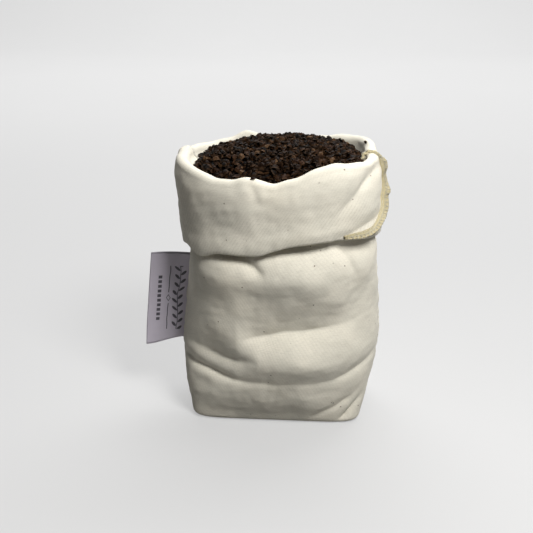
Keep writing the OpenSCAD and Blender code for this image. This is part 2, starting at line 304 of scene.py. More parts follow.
def smoothStep(x):
    # 3 x^2 - 2 x^3 between 0 and 1, and level outside
    x = np.clip(x, 0.0, 1.0)
    return x * x * (3.0 - 2.0 * x)


def hump(x, width):
    # e^-(x / width)^2
    return np.exp(-(x / width) ** 2)


def curveThrough(knots, at, turn=0.0):
    # a cubic between each two knots, its slope at a knot that of the chord past it;
    # with turn, the curve closes after that many units
    xs, ys = np.array(sorted(knots), float).T
    if turn:
        at = (at - xs[0]) % turn + xs[0]
        xs = np.r_[xs[-2:] - turn, xs, xs[:2] + turn]
        ys = np.r_[ys[-2:], ys, ys[:2]]
    at = np.clip(at, xs[0], xs[-1])
    slope = np.gradient(ys, xs)
    k = np.clip(np.searchsorted(xs, at) - 1, 0, len(xs) - 2)
    h = xs[k + 1] - xs[k]
    f = (at - xs[k]) / h
    return (ys[k] * (1 + 2 * f) * (1 - f) ** 2 + ys[k + 1] * f * f * (3 - 2 * f)
            + slope[k] * h * f * (1 - f) ** 2 - slope[k + 1] * h * f * f * (1 - f))


def ripples(u, v, seed, shortest, longest, count=20):
    # the sum of plane waves of random heading, length and phase, about 1 high
    r = np.random.default_rng(seed)
    heading = r.uniform(0, pi, count)
    k = 2 * pi / np.exp(r.uniform(np.log(shortest), np.log(longest), count))
    kx, ky, phase = k * np.cos(heading), k * np.sin(heading), r.uniform(0, 2 * pi, count)
    total = np.zeros(np.broadcast(u, v).shape)
    for a, b, c in zip(kx, ky, phase):
        total += np.sin(a * u + b * v + c)
    return total * np.sqrt(2.0 / count)


def distances(points):
    # how far along its row each point lies
    return np.r_[0.0, np.cumsum(np.linalg.norm(np.diff(points, axis=0), axis=-1))]


def addMesh(name, points, faces, uv=None, smooth=True, values=None):
    # a mesh object in metres from points in millimetres; uv and values are per point
    mesh = bpy.data.meshes.new(name)
    faces = faces.tolist() if hasattr(faces, "tolist") else faces
    mesh.from_pydata((points * mm).tolist(), [], faces)
    loops = np.empty(len(mesh.loops), np.int32)
    mesh.loops.foreach_get("vertex_index", loops)
    if uv is not None:
        layer = mesh.uv_layers.new(name="cloth")
        layer.data.foreach_set("uv", (uv[loops] * mm).astype(np.float32).ravel())
    for key, data in (values or {}).items():
        attribute = mesh.attributes.new(key, "FLOAT", "POINT")
        attribute.data.foreach_set("value", data.astype(np.float32))
    mesh.polygons.foreach_set("use_smooth", np.full(len(mesh.polygons), smooth))
    mesh.update()
    piece = bpy.data.objects.new(name, mesh)
    bpy.context.scene.collection.objects.link(piece)
    return piece


def gridFaces(rows, columns, closedColumns=False):
    # quads over a grid whose point (i, j) is number i * columns + j
    i = np.arange(rows - 1)
    j = np.arange(columns if closedColumns else columns - 1)
    i, j = np.meshgrid(i, j, indexing="ij")
    a, b = i * columns + j, i * columns + (j + 1) % columns
    c, d = b + columns, a + columns
    return np.stack([a, b, c, d], -1).reshape(-1, 4)


def closedFaces(rows, columns):
    # a tube's quads and its two ends
    ends = [list(range(columns))[::-1], [(rows - 1) * columns + j for j in range(columns)]]
    return gridFaces(rows, columns, closedColumns=True).tolist() + ends


def dress(piece, material, body, *nodes, slot=None):
    # gives a new piece its material and its body, and hides the nodes that it stands for
    piece.data.materials.append(material)
    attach(piece, body)
    if nodes:
        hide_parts(*nodes)


# the bag's cloth, in millimetres, with angles in degrees round from +X

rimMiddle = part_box("front_panel")[1][2] / mm       # the rim's height over the side seams
bag = {
    "thickness": 0.9,
    "baseRound": 2.6,         # radius between the base and the wall
    "ridgeEnd": 12.0,         # from the end of the base seam to where its panels fan out
    # height, outer half width, outer half depth, squareness, middle's x
    "wall": [(0, 46.8, 26.6, 8.0, -1.4), (6, 48.2, 28.4, 5.4, -1.3), (13, 50.1, 30.8, 3.7, -1.0),
             (20, 51.6, 33.2, 3.0, -0.9), (28, 53.3, 35.6, 2.6, -0.7), (38, 54.5, 37.8, 2.35, 0.0),
             (50, 54.0, 38.8, 2.25, 0.7), (64, 52.9, 38.8, 2.2, 1.0), (80, 51.2, 38.4, 2.2, 1.5),
             (91, 50.2, 37.8, 2.3, 1.8), (98, 49.6, 36.6, 2.4, 1.8), (104, 48.0, 34.6, 2.4, 1.7),
             (112, 45.4, 33.8, 2.4, 1.4), (124, 42.8, 34.0, 2.4, 1.6), (136, 40.8, 34.4, 2.4, 1.8),
             (160, 40.8, 34.4, 2.4, 1.8)],
    "rimHalfWidth": 48.3, "rimHalfDepth": 36.7, "rimSquareness": 2.4, "rimX": -1.3,
    "foldRadius": 2.7,
    "mouthBlend": 11.0,       # height over which the wall opens to the rim
    # angle, height of the rim's crest above the middle
    "crest": [(-169, 2.2), (-150, -1.0), (-139, -2.0), (-130, -4.0), (-120, -3.5), (-110, -2.5),
              (-101, -3.0), (-90, -5.0), (-80, -3.5), (-68, -0.5), (-55, 3.0), (-44, 4.0),
              (-33, 2.8), (-20, 2.5), (-8, 1.5), (4, 2.5), (16, 6.0), (30, 5.5), (42, 5.0),
              (55, 3.0), (75, 1.5), (90, 1.0), (105, 2.0), (118, 5.2), (130, 2.0), (148, 0.5),
              (165, 1.0), (180, 3.5)],
    # angle, height of the cuff's lower edge
    "cuffEdge": [(-165, 100), (-153, 101), (-146, 98.5), (-130, 101.5), (-110, 102), (-100, 102.5),
                 (-91, 104.5), (-76, 107.5), (-60, 109), (-45, 109.5), (-32, 108.5), (-15, 106),
                 (5, 104), (30, 104.5), (60, 103), (90, 104.5), (120, 103), (150, 101.5),
                 (180, 99.5)],
    # share of the way down the cuff, how far it stands out from the rim's outer side
    "cuffSwell": [(0, 0.0), (0.12, 1.0), (0.3, 1.3), (0.5, 0.7), (0.7, 0.2), (0.88, 0.1),
                  (1, -0.5)],
    "rightFlare": 3.2,        # how much further the cuff's edge stands out at its right seam
    "hemRadius": 1.25, "hemTurn": 12.0,
    "foldScale": 1.5,         # on the wall's folds
    "belly": 60.0,            # height where the panels' width is measured
}
# small unevenness: height of the waves, stretch in height, seed, shortest and longest
uneven = {
    "radius": 46.0,           # turns an angle into a distance round the bag
    "waves": [(0.22, 1.0, 3, 15.0, 38.0), (0.06, 1.4, 4, 5.0, 11.0)],
    "pucker": 0.28, "groove": 0.9, "rim": 0.35,
}


def planPoint(angle, halfWidth, halfDepth, squareness):
    # where a ray at the angle meets a superellipse, and the outward normal there
    c, s = np.cos(angle), np.sin(angle)
    n = squareness
    r = (np.abs(c / halfWidth) ** n + np.abs(s / halfDepth) ** n) ** (-1.0 / n)
    x, y = r * c, r * s
    out = unit(np.stack([np.sign(c) * np.abs(x / halfWidth) ** (n - 1) / halfWidth,
                         np.sign(s) * np.abs(y / halfDepth) ** (n - 1) / halfDepth], -1))
    return x, y, out


def wallAt(z, column):
    # one column of the wall's table, smoothly between its heights
    return curveThrough([(row[0], row[column]) for row in bag["wall"]], z)


def crestZ(angle):
    return rimMiddle + curveThrough(bag["crest"], np.degrees(angle), 360.0)


def cuffEdgeZ(angle):
    return curveThrough(bag["cuffEdge"], np.degrees(angle), 360.0)


# folds: each valley runs along (x, height, depth) knots; its upper and lower sides
# have their own widths. Bulges are (x, height, half width, half height, outwards).
# The front's x grows to the right, and the back's to the left.
wallFolds = {
    "front": {
        "valleys": [
            # the long sag over the base
            ([(-60, 38, 0.6), (-50, 34, 1.7), (-38, 32.0, 2.6), (-28, 29.8, 2.2), (-18, 28.8, 1.1),
              (-6, 28.6, 0.6), (8, 28.6, 0.3), (22, 29.2, 0.4), (34, 31.4, 1.0), (44, 35.5, 1.5),
              (54, 41, 0.5)], 4.2, 1.5),
            # across the belly
            ([(-21, 54.0, 0.0), (-13, 54.5, 2.8), (-5, 55.5, 4.1), (3, 57.0, 4.4), (14, 58, 4.4),
              (28, 59.5, 3.7), (37, 62.0, 1.5), (46, 66, 0.0)], 9.0, 5.6),
            # the slanting dent at the left
            ([(-53, 46, 0.0), (-45, 44.5, 2.2), (-36, 42.5, 3.7), (-27, 41.0, 3.8),
              (-18, 41.0, 2.4), (-9, 42.0, 0.0)], 9.5, 5.6),
            # folds at the lower right corner
            ([(16, 5, 0.0), (24, 8, 0.7), (32, 12, 1.2), (40, 17, 0.9), (46, 22, 0.0)], 2.4, 1.5),
            # the boxed corner's seam
            ([(30, -3, 0.0), (33, 0.5, 1.6), (37, 4.5, 2.0), (41, 9, 1.8), (45, 14, 0.9),
              (47, 17, 0.0)], 1.5, 0.8),
            # the pinch under the cuff, left of the middle
            ([(-34, 103, 0.0), (-26, 101, 0.8), (-16, 99, 1.4), (-11, 95.5, 2.2), (-7, 93, 0.9),
              (-4, 91, 0.0)], 2.4, 2.6),
            # the one right of it
            ([(26, 106, 0.0), (33, 102, 1.0), (37, 97, 1.3), (40, 90, 0.5), (42, 86, 0.0)],
             2.0, 2.0),
        ],
        "bulges": [
            (12, 91, 21, 11, 2.8), (-29, 90, 14, 10, 2.4), (42, 94, 8, 8, 0.8),
            (16, 46, 28, 9, 1.0), (-26, 35, 18, 4.5, 0.3), (6, 64, 32, 12, -2.0),
            (-22, 104, 13, 4.5, -2.2), (10, 107, 15, 4.5, -2.2),
            (18, 40, 26, 6.5, 1.0), (-4, 17, 34, 8, 0.8), (-40, 24, 5, 4, -0.9),
            (-46, 12, 8, 8, 0.4),
        ],
    },
    "back": {
        "valleys": [
            ([(-58, 36, 0.5), (-44, 32, 1.7), (-30, 30, 2.0), (-14, 29.5, 1.4), (4, 31, 1.0),
              (22, 33.5, 1.5), (38, 37, 2.0), (50, 42, 0.6)], 3.6, 1.5),
            ([(-46, 70, 0.0), (-34, 66, 1.4), (-18, 63, 2.0), (0, 62.5, 1.6), (14, 65, 1.0),
              (26, 69, 0.0)], 5.0, 2.0),
            ([(12, 51, 0.0), (22, 54, 1.3), (34, 59, 1.9), (44, 66, 0.6)], 3.5, 2.4),
            ([(-30, 101, 0.0), (-22, 98, 1.6), (-17, 93, 1.8), (-14, 88, 0.0)], 2.2, 2.2),
            ([(14, 104, 0.0), (20, 99, 1.5), (24, 93, 1.6), (30, 88, 0.0)], 2.2, 2.2),
            ([(-44, 16, 0.0), (-36, 11, 1.1), (-26, 7, 0.9), (-18, 5, 0.0)], 2.4, 1.6),
        ],
        "bulges": [
            (-2, 96, 18, 6.5, 2.0), (-36, 94, 11, 7, 1.6), (36, 94, 11, 7, 1.6),
            (0, 78, 34, 8, -1.0), (-8, 52, 26, 9, 1.6), (6, 17, 32, 8, 0.9),
        ],
    },
}
# the same for the cuff: height is counted from the cuff's edge up
cuffFolds = {
    "front": {
        "valleys": [
            ([(24, 8, 0.0), (31, 15, 0.8), (38, 22, 1.9), (44, 29, 2.6), (50, 36, 1.6),
              (54, 40, 0.0)], 3.6, 2.6),
            ([(28, 0, 0.6), (36, 3, 1.4), (44, 7, 1.8), (52, 12, 0.8)], 3.0, 2.4),
            ([(-16, 40, 0.0), (-11, 36, 0.8), (-8, 30, 0.4), (-6, 26, 0.0)], 2.6, 2.6),
        ],
        "bulges": [
            (-24, 36, 26, 6, 0.6), (16, 37, 18, 6, 0.5), (-30, 14, 24, 9, -0.7),
            (4, 14, 26, 8, -0.4), (-4, 3, 44, 3.5, 0.5), (34, 33, 8, 8, 0.8), (46, 16, 6, 7, 0.8),
        ],
    },
    "back": {
        "valleys": [
            ([(-44, 34, 0.0), (-36, 26, 1.3), (-28, 17, 1.6), (-20, 9, 0.6),
              (-14, 4, 0.0)], 3.4, 2.8),
            ([(18, 40, 0.0), (20, 32, 1.2), (19, 24, 1.5), (16, 16, 0.0)], 2.8, 2.8),
            ([(30, 6, 0.0), (38, 12, 1.1), (48, 22, 1.3), (54, 30, 0.0)], 3.2, 2.6),
        ],
        "bulges": [
            (0, 36, 34, 6, 0.9), (-10, 14, 30, 8, -1.0), (0, 3, 44, 3.5, 0.7), (34, 30, 12, 8, 0.6),
        ],
    },
}


def foldOut(x, h, folds):
    # how far the folds put the cloth out: a valley falls off from its line by
    # e^-(distance / width), rounded at the line, and a bulge is a Gaussian
    out = np.zeros_like(x)
    for knots, above, below in folds["valleys"]:
        line = curveThrough([(k[0], k[1]) for k in knots], x)
        depth = curveThrough([(k[0], k[2]) for k in knots], x)
        depth = np.where((x < knots[0][0]) | (x > knots[-1][0]), 0.0, np.maximum(depth, 0.0))
        lean = curveThrough([(k[0], k[1]) for k in knots], x + 0.5) - line
        d = (h - line) / np.sqrt(1.0 + 4.0 * lean * lean)
        width = np.where(d > 0, above, below)
        out -= depth * np.exp(-(np.sqrt(d * d + 0.36) - 0.6) / width)
    for cx, ch, sx, sh, amount in folds["bulges"]:
        out += amount * hump(x - cx, sx) * hump(h - ch, sh)
    return out


def besideSeam(angle, halfWidth):
    # distance from the nearer side seam, along the cloth
    return np.abs(np.sin(angle)) * halfWidth


def clothMiddle(angle, v):
    # the middle of the ply. v counts the stretches of cloth: base to 1, its round to 2,
    # wall to 3, rim fold to 4, cuff to 5, hem fold to 6 and the turned-in hem to 7
    angle, v = np.broadcast_arrays(np.asarray(angle, float), np.asarray(v, float))
    part = [np.clip(v - k, 0.0, 1.0) for k in range(7)]
    half = bag["thickness"] / 2
    foldR, hemR, baseR = bag["foldRadius"], bag["hemRadius"], bag["baseRound"]
    crest, edge = crestZ(angle), cuffEdgeZ(angle)
    rimZ = crest - foldR - half
    # heights and the distances out from the wall's own outline
    bend = part[1] * pi / 2
    z = np.where(v <= 1, half, half + baseR * (1 - np.cos(bend)))
    z = np.where(v > 2, half + baseR + (rimZ - half - baseR) * part[2], z)
    inset = np.where(v <= 2, baseR * (1 - np.sin(bend)), 0.0) + half
    wallX, wallY, wallOut = planPoint(angle, wallAt(z, 1) - inset, wallAt(z, 2) - inset,
                                      wallAt(z, 3))
    wallX = wallX + wallAt(z, 4)
    # the rim's outline, and how much of it the wall has taken on
    rimX, rimY, rimOut = planPoint(angle, bag["rimHalfWidth"], bag["rimHalfDepth"],
                                   bag["rimSquareness"])
    rimX = rimX + bag["rimX"]
    opened = smoothStep((z - (rimZ - bag["mouthBlend"])) / bag["mouthBlend"]) * (v > 2)
    turn = part[3] * pi
    down = part[4]
    tuck = part[5] * pi
    out = -foldR * np.cos(turn) + curveThrough(bag["cuffSwell"], down)
    flare = bag["rightFlare"] * down * np.maximum(np.cos(angle), 0) ** 2
    out = out - hemR * (1 - np.cos(tuck)) + flare
    zRim = rimZ + foldR * np.sin(turn)
    zCuff = rimZ + (edge + hemR + half - rimZ) * down - hemR * np.sin(tuck)
    zCuff = zCuff + bag["hemTurn"] * part[6]
    z = np.where(v > 3, np.where(v > 4, zCuff, zRim), z)
    x = wallX + (rimX - foldR * rimOut[..., 0] - wallX) * opened
    y = wallY + (rimY - foldR * rimOut[..., 1] - wallY) * opened
    x = np.where(v > 3, rimX + out * rimOut[..., 0], x)
    y = np.where(v > 3, rimY + out * rimOut[..., 1], y)
    # the base: from its seam out to its edge
    share = part[0]
    ridge = (wallAt(0.0, 1) - bag["ridgeEnd"]) * np.cos(angle) + wallAt(0.0, 4)
    x = np.where(v < 1, ridge + (wallX - ridge) * share, x)
    y = np.where(v < 1, wallY * share, y)
    outDir = np.where((v > 3)[..., None], rimOut, wallOut)
    return np.stack([x, y, z], -1), outDir


def clothPoint(angle, v):
    # the middle of the ply with its folds
    p, out = clothMiddle(angle, v)
    angle, v = np.broadcast_arrays(np.asarray(angle, float), np.asarray(v, float))
    x, y, z = p[..., 0], p[..., 1], p[..., 2]
    facing = np.where(y < 0, 1.0, -1.0)
    frontal = smoothStep((np.abs(y) - 3.0) / 15.0)
    onCuff = v > 3.5
    edge = cuffEdgeZ(angle)
    push = np.zeros_like(x)
    for side, sign in (("front", 1.0), ("back", -1.0)):
        here = (facing == sign) * frontal
        onWall = foldOut(x * sign, z, wallFolds[side])
        onWall = onWall * smoothStep((z - 0.5) / 5.0) * bag["foldScale"]
        onWall = onWall * smoothStep((crestZ(angle) - 14.0 - z) / 10.0)
        fromEdge = z - edge
        onTurn = foldOut(x * sign, fromEdge, cuffFolds[side])
        onTurn = onTurn * smoothStep((crestZ(angle) - z + 1.0) / 7.0)
        push = push + here * np.where(onCuff, onTurn, onWall)
    # small unevenness all over, more of it beside the seams and above the cuff's edge
    around = angle * uneven["radius"]
    free = np.where(v < 1, 0.0, smoothStep((z - 1.0) / 8.0))
    for high, stretch, seed, shortest, longest in uneven["waves"]:
        push = push + free * high * ripples(around, z * stretch + v * 9.0, seed, shortest, longest)
    seam = besideSeam(angle, uneven["radius"])
    pucker = np.sin(z * 0.85 + 2.0 * np.sin(z * 0.13)) * hump(seam - 3.0, 4.5) * uneven["pucker"]
    groove = -uneven["groove"] * np.exp(-(seam / 1.1) ** 2) * np.where(onCuff, -0.4, 1.0)
    push = push + free * (pucker + groove)
    p = p + np.concatenate([out * push[..., None], np.zeros_like(x)[..., None]], -1)
    # the rim isn't a smooth hoop: it wanders up, down, in and out
    rimming = hump(v - 3.5, 0.8)
    p[..., 2] += rimming * uneven["rim"] * ripples(around, np.zeros_like(z), 11, 9.0, 30.0)
    return p


def clothFrame(angle, v):
    # the ply's middle, the face side's normal, and the directions round and along the cloth
    step = 1e-3
    at = clothPoint(angle, v)
    circling = unit(clothPoint(angle + step, v) - clothPoint(angle - step, v))
    after, before = np.clip(v + step, 0, 7), np.clip(v - step, 0, 7)
    along = unit(clothPoint(angle, after) - clothPoint(angle, before))
    return at, unit(np.cross(circling, along)), circling, along


# rows in each stretch of the cloth
panelRows = [(0, 14), (1, 7), (2, 120), (3, 14), (4, 50), (5, 8), (6, 9)]
panelColumns = 166


def stretchValues(rows):
    # v in equal steps within each stretch, and the end of the last one
    return np.concatenate([k + np.arange(n) / n for k, n in rows] + [[rows[-1][0] + 1.0]])


def makePanel(name, start):
    # a sheet over half the bag, its columns closer together beside the seams
    f = np.linspace(0.0, 1.0, panelColumns)
    f = f - 0.5 * np.sin(2 * pi * f) / (2 * pi)
    angle = start + pi * f
    v = stretchValues(panelRows)
    points = clothPoint(angle[None, :], v[:, None])
    lengths = np.linalg.norm(np.diff(points, axis=0), axis=-1)
    along = np.vstack([np.zeros(panelColumns), np.cumsum(lengths, axis=0)])
    along = np.broadcast_to(along.mean(axis=1, keepdims=True), along.shape)
    belly = np.argmin(np.abs(points[:, panelColumns // 2, 2] - bag["belly"]) + 1000.0 * (v > 3))
    across = distances(points[belly])
    uv = np.stack([np.broadcast_to(across, along.shape), along], -1).reshape(-1, 2)
    piece = addMesh(name, points.reshape(-1, 3), gridFaces(len(v), panelColumns), uv)
    solid = piece.modifiers.new("thickness", "SOLIDIFY")
    solid.thickness, solid.offset = bag["thickness"] * mm, 0.0
    solid.use_rim = True
    flat = (across[-1] * mm, float(np.median(along[-1])) * mm)
    return piece, flat


clothMaterial = twillMaterial("naturalTwill")
for name, start, node in (("frontTwill", -pi, "front_panel"), ("backTwill", 0.0, "back_panel")):
    piece, flat = makePanel(name, start)
    dress(piece, clothMaterial, "bag", node, slot="twill")
    print(name, "ready, flat", flat)

# the side seams: allowances, lockstitches and overlocking, which follow the cloth

seams = {
    "thickness": 1.5, "width": 7.0, "rows": 150,
    # stretch, v, degrees that the seam has moved round, lean (0 straight out, 90 flat along the
    # bag), dip (90 straight down the cloth), share of the width
    "right": {"angle": 0.0, "path": [
        (2.03, 2.03, 0, 80, 0, 0.9), (2.9, 2.9, 0, 78, 0, 0.7), (3.3, 3.3, 0, 66, 0, 0.25),
        (3.7, 3.7, 0, 10, 0, 0.2), (3.95, 3.95, 0, -36, 0, 0.3), (4.12, 4.12, 0, -54, 0, 0.7),
        (4.4, 4.4, 0, -48, 0, 0.80), (4.6, 4.62, -5, -32, 8, 0.70), (4.8, 4.77, -14, -10, 28, 0.58),
        (5.0, 4.88, -24, 8, 50, 0.52), (5.2, 4.94, -33, 16, 68, 0.46),
        (5.35, 4.965, -41, 22, 76, 0.25)]},
    # over the rim the left one is pinched, so that the cloth hides it
    "left": {"angle": pi, "path": [
        (2.03, 2.03, 0, 80, 0, 0.9), (2.8, 2.8, 0, 80, 0, 0.6), (3.05, 3.05, -1, 30, 0, 0.03),
        (3.5, 3.5, -1, 0, 0, 0.02), (4.1, 4.1, -1, 20, 0, 0.04), (4.45, 4.45, -2, 80, 0, 0.6),
        (5.0, 5.0, -2, 84, 0, 0.9), (5.35, 5.35, -3, 84, 0, 0.8)]},
    "stitchPitch": 3.0, "stitchGap": 0.7, "threadRadius": 0.21,
    "overlockPitch": 2.4, "overlockDepth": 4.0, "loopRadius": 0.24,
}


def seamStrip(side, v, t, w=0.0):
    # a point of the allowance: t from the seam out to the serged edge, w off its middle
    path = seams[side]["path"]
    v, moved, lean, dip, share = (curveThrough([(k[0], k[j]) for k in path], v)
                                  for j in range(1, 6))
    angle = seams[side]["angle"] + np.radians(moved)
    at, normal, circling, along = clothFrame(angle, v)
    # leaning goes round the bag: towards the front at the right seam, the back at the left
    lean, dip = np.radians(lean)[..., None], np.radians(dip)[..., None]
    aside = -normal * np.cos(lean) - circling * np.sin(lean)
    outward = aside * np.cos(dip) + along * np.sin(dip)
    down = along * np.cos(dip) - aside * np.sin(dip)
    face = unit(np.cross(outward, down))
    wave = 0.35 * ripples(v * 40.0, t * 3.0, 31, 6.0, 15.0, 8) * t
    clear = bag["thickness"] / 2 + seams["thickness"] / 2 + 0.1
    offset = (1 - np.cos(lean) * np.cos(dip)) * clear
    t, w, wave = (np.asarray(q)[..., None] + 0.0 * at for q in (t, w, wave))
    reach = seams["width"] * share[..., None] * t
    return at - normal * offset + outward * reach + face * (w + wave), face


def strideV(side, t, pitch, low=2.06, high=5.3):
    # v at equal steps along the strip, and the number of steps
    v = np.linspace(low, high, 700)
    p, _ = seamStrip(side, v, np.full(700, t))
    far = distances(p)
    count = int(far[-1] / pitch)
    return lambda steps: np.interp(steps * pitch, far, v), count


def tubes(name, lines, normals, radius, sides=6):
    # round threads along equally long polylines (threads, points, 3), closed at both ends
    lines = np.asarray(lines)
    along = unit(np.gradient(lines, axis=1))
    one = unit(normals - along * (normals * along).sum(-1, keepdims=True))
    two = np.cross(along, one)
    turn = np.arange(sides) * 2 * pi / sides
    ring = (lines[:, :, None] + radius * (np.cos(turn)[:, None] * one[:, :, None]
                                          + np.sin(turn)[:, None] * two[:, :, None]))
    n, m = lines.shape[:2]
    faces = gridFaces(m, sides, closedColumns=True)[:, ::-1]
    faces = (faces[None] + (np.arange(n) * m * sides)[:, None, None]).reshape(-1, 4).tolist()
    for k in range(n):
        first = k * m * sides
        faces.append([first + j for j in range(sides)][::-1])
        faces.append([first + (m - 1) * sides + j for j in range(sides)])
    far = np.cumsum(np.linalg.norm(np.diff(lines, axis=1, prepend=lines[:, :1]), axis=-1), axis=1)
    uv = np.stack(np.broadcast_arrays(turn[None, None] * radius, far[..., None]), -1).reshape(-1, 2)
    faces = [face[::-1] for face in faces]
    return addMesh(name, ring.reshape(-1, 3), faces, uv)


def makeSeam(side):
    # the allowance is a flat tube round its strip's middle, thinner towards the serged edge
    v = np.linspace(2.03, 5.35, seams["rows"])[:, None]
    t = np.linspace(-0.03, 1.0, 7)[None, :]
    middle, face = seamStrip(side, v + 0 * t, t + 0 * v)
    half = seams["thickness"] / 2 * (1.0 - 0.35 * t ** 2)[..., None]
    # front and back skins, joined round all four edges
    ring = np.concatenate([middle + face * half, (middle - face * half)[:, ::-1]], axis=1)
    far = distances(middle[:, 3])
    across = np.concatenate([t[0], t[0][::-1]]) * seams["width"]
    uv = np.stack(np.broadcast_arrays(across[None], far[:, None]), -1).reshape(-1, 2)
    piece = addMesh(side + "Allowance", ring.reshape(-1, 3), closedFaces(*ring.shape[:2]), uv)
    dress(piece, allowanceFinishes[side], "bag", side + "_seam_allowance", slot="serged_twill")
    # the lockstitches, on both faces, close to the seam
    at, count = strideV(side, 0.12, seams["stitchPitch"])
    bit = np.linspace(seams["stitchGap"] / seams["stitchPitch"] / 2,
                      1 - seams["stitchGap"] / seams["stitchPitch"] / 2, 5)
    steps = at(np.arange(count)[:, None] + bit[None])
    lines, normals = [], []
    for sign in (1.0, -1.0):
        sink = (half.mean() + 0.12 - 0.45 * (2 * (bit - 0.5)) ** 6) * sign
        p, f = seamStrip(side, steps, np.full_like(steps, 0.14), sink[None] + 0 * steps)
        lines.append(p)
        normals.append(f)
    piece = tubes(side + "Lockstitches", np.concatenate(lines), np.concatenate(normals),
                  seams["threadRadius"])
    dress(piece, threadFinishes[side], "bag", side + "_side_stitches", slot="thread")
    # the overlocking: a looper thread to the edge and back and a straight thread on each face
    at, count = strideV(side, 0.8, seams["overlockPitch"])
    inner = 1.0 - seams["overlockDepth"] / seams["width"]
    u = np.arange(count * 8 + 1) / 8.0
    lines, normals = [], []
    for sign, phase in ((1.0, 0.0), (-1.0, 0.35)):
        swing = 0.5 - 0.5 * np.cos(2 * pi * (u + phase))
        reach = inner + (1.03 - inner) * swing ** 0.8
        lift = sign * (seams["thickness"] / 2 * (1 - 0.35 * reach ** 2) + 0.12)
        lift = lift * (1 - 0.8 * swing ** 6)
        p, f = seamStrip(side, at(u + 0.25 * np.sin(2 * pi * (u + phase))), reach, lift)
        lines.append(p)
        normals.append(f)
    for sign in (1.0, -1.0):
        lift = sign * (seams["thickness"] / 2 + 0.02 + 0.1 * np.cos(2 * pi * u))
        p, f = seamStrip(side, at(u), np.full_like(u, inner), lift)
        lines.append(p)
        normals.append(f)
    piece = tubes(side + "Overlock", lines, normals, seams["loopRadius"], 5)
    dress(piece, threadFinishes[side], "bag", side + "_overlock_thread", slot="thread")


def makeMouthOverlock():
    # over the raw edge that the cuff's hem hides
    turns = 230
    u = np.arange(turns * 6) / (turns * 6.0)
    angle = -pi + 2 * pi * u
    swing = 0.5 - 0.5 * np.cos(2 * pi * u * turns)
    lines, normals = [], []
    for sign in (1.0, -1.0):
        v = np.minimum(6.62 + 0.38 * swing, 6.999)
        at, normal, _, along = clothFrame(angle, v)
        lift = sign * (bag["thickness"] / 2 + 0.12) * (1 - swing ** 6)
        lines.append(at + normal * lift[:, None] + along * (swing ** 6 * 0.5)[:, None])
        normals.append(normal)
    piece = tubes("mouthOverlock", lines, normals, 0.2, 5)
    dress(piece, threadFinishes["left"], "bag", "mouth_overlock_thread", slot="thread")


# the right seam's thread and allowance are darker, olive copies of the pale ones: painted shade on
# the right seam
threadFinishes = {"left": threadMaterial("paleThread", (0.80, 0.77, 0.68)),
                  "right": threadMaterial("shadedSeamThread", (0.56, 0.515, 0.37))}
allowanceFinishes = {"left": twillMaterial("foldedTwill", (0.98, 0.97, 0.94), 0.6),
                     "right": twillMaterial("shadedSergedTwill", (0.63, 0.58, 0.42), 0.6)}
makeSeam("left")
makeSeam("right")
makeMouthOverlock()
print("seams ready")

# the label, a folded strip of satin in the left seam

label = {
    # height, x of the fold that is its outer edge
    "top": 88.8, "outerEdge": [(33.5, -76.4), (45, -75.6), (60, -74.0), (75, -72.3), (89, -70.6)],
    "bottomInner": 38.0, "bottomOuter": 33.6, "curl": 3.2, "leaf": 0.3, "gap": 0.35,
    "satin": (0.62, 0.575, 0.66), "ink": (0.035, 0.032, 0.045),
    # the print, from the seam and from the bottom
    "printMiddle": 28.0, "sprigAt": 7.0, "ruleAt": 12.6, "dashesAt": 17.8, "darkTopBand": 54.4,
    "dashPitch": 2.8, "leafPitch": 4.8,
    # metres: the strip's cut height, and where it bends away from the bag
    "cut": 0.0515, "bendFrom": (-0.0495, 0, 0.064), "bendTo": (-0.0575, 0, 0.064),
}


def labelMaterial():
    s = Shader("labelSatin", Roughness=0.42, Specular_IOR_Level=0.45, Sheen_Weight=0.15)
    across, along = s.clothCoordinates()
    weave = ((along * (2 * pi / 0.35)).sine() * 0.5 + 0.5) * 0.5 + s.noise(
        s.vector(across * 0.4, along * 6.0), 1.0, 2.0) * 0.5
    wide = s.noise(s.vector(across, along), 0.12, 2.0)
    colour = s.brighter(label["satin"], weave * 0.10 + wide * 0.10 + 0.90)
    # a long rule with a small lozenge in it, a sprig beside it and a row of dashes
    fromMiddle = along - label["printMiddle"]
    fromRule = across - label["ruleAt"]
    inside = fromMiddle.band(19.0, 19.4)
    lozenge = fromRule.size() + fromMiddle.size() * 0.6
    rule = fromRule.band(0.20, 0.32) * (lozenge - 2.0).ramp(0.0, 0.2)
    rule = rule.most((lozenge - 1.1).band(0.14, 0.26)) * inside
    dash = (across - label["dashesAt"]).band(0.95, 1.08)
    dash = dash * ((along / label["dashPitch"]).fraction() - 0.5).band(0.30, 0.34)
    dash = dash * fromMiddle.band(14.0, 14.2)
    stem = across - label["sprigAt"] - (along * 0.28).sine() * 0.5
    stalk = stem.band(0.16, 0.28)
    leaves = None
    for sign, phase in ((1.0, 0.0), (-1.0, 2.4)):
        rise = ((along + phase) / label["leafPitch"]).fraction() - 0.5
        rise = rise * label["leafPitch"]
        slant = (stem * sign - 1.7) * 0.7 - rise * 0.7
        length = (stem * sign - 1.7) * 0.7 + rise * 0.7
        shape = (slant / 0.75) * (slant / 0.75) + (length / 1.9) * (length / 1.9)
        leaf = shape.ramp(0.8, 1.15, 1.0, 0.0)
        leaves = leaf if leaves is None else leaves.most(leaf)
    sprig = stalk.most(leaves) * fromMiddle.band(19.0, 19.5)
    ink = rule.most(dash).most(sprig)
    # a band along the top edge is darker
    darkTopBand = (along - label["darkTopBand"]).ramp(0.0, 0.3)
    colour = s.mix(ink * 0.9, colour, label["ink"])
    colour = s.mix(darkTopBand * 0.55, colour, label["ink"])
    return s.finish(colour, None, weave, 0.06 * mm, 0.5)


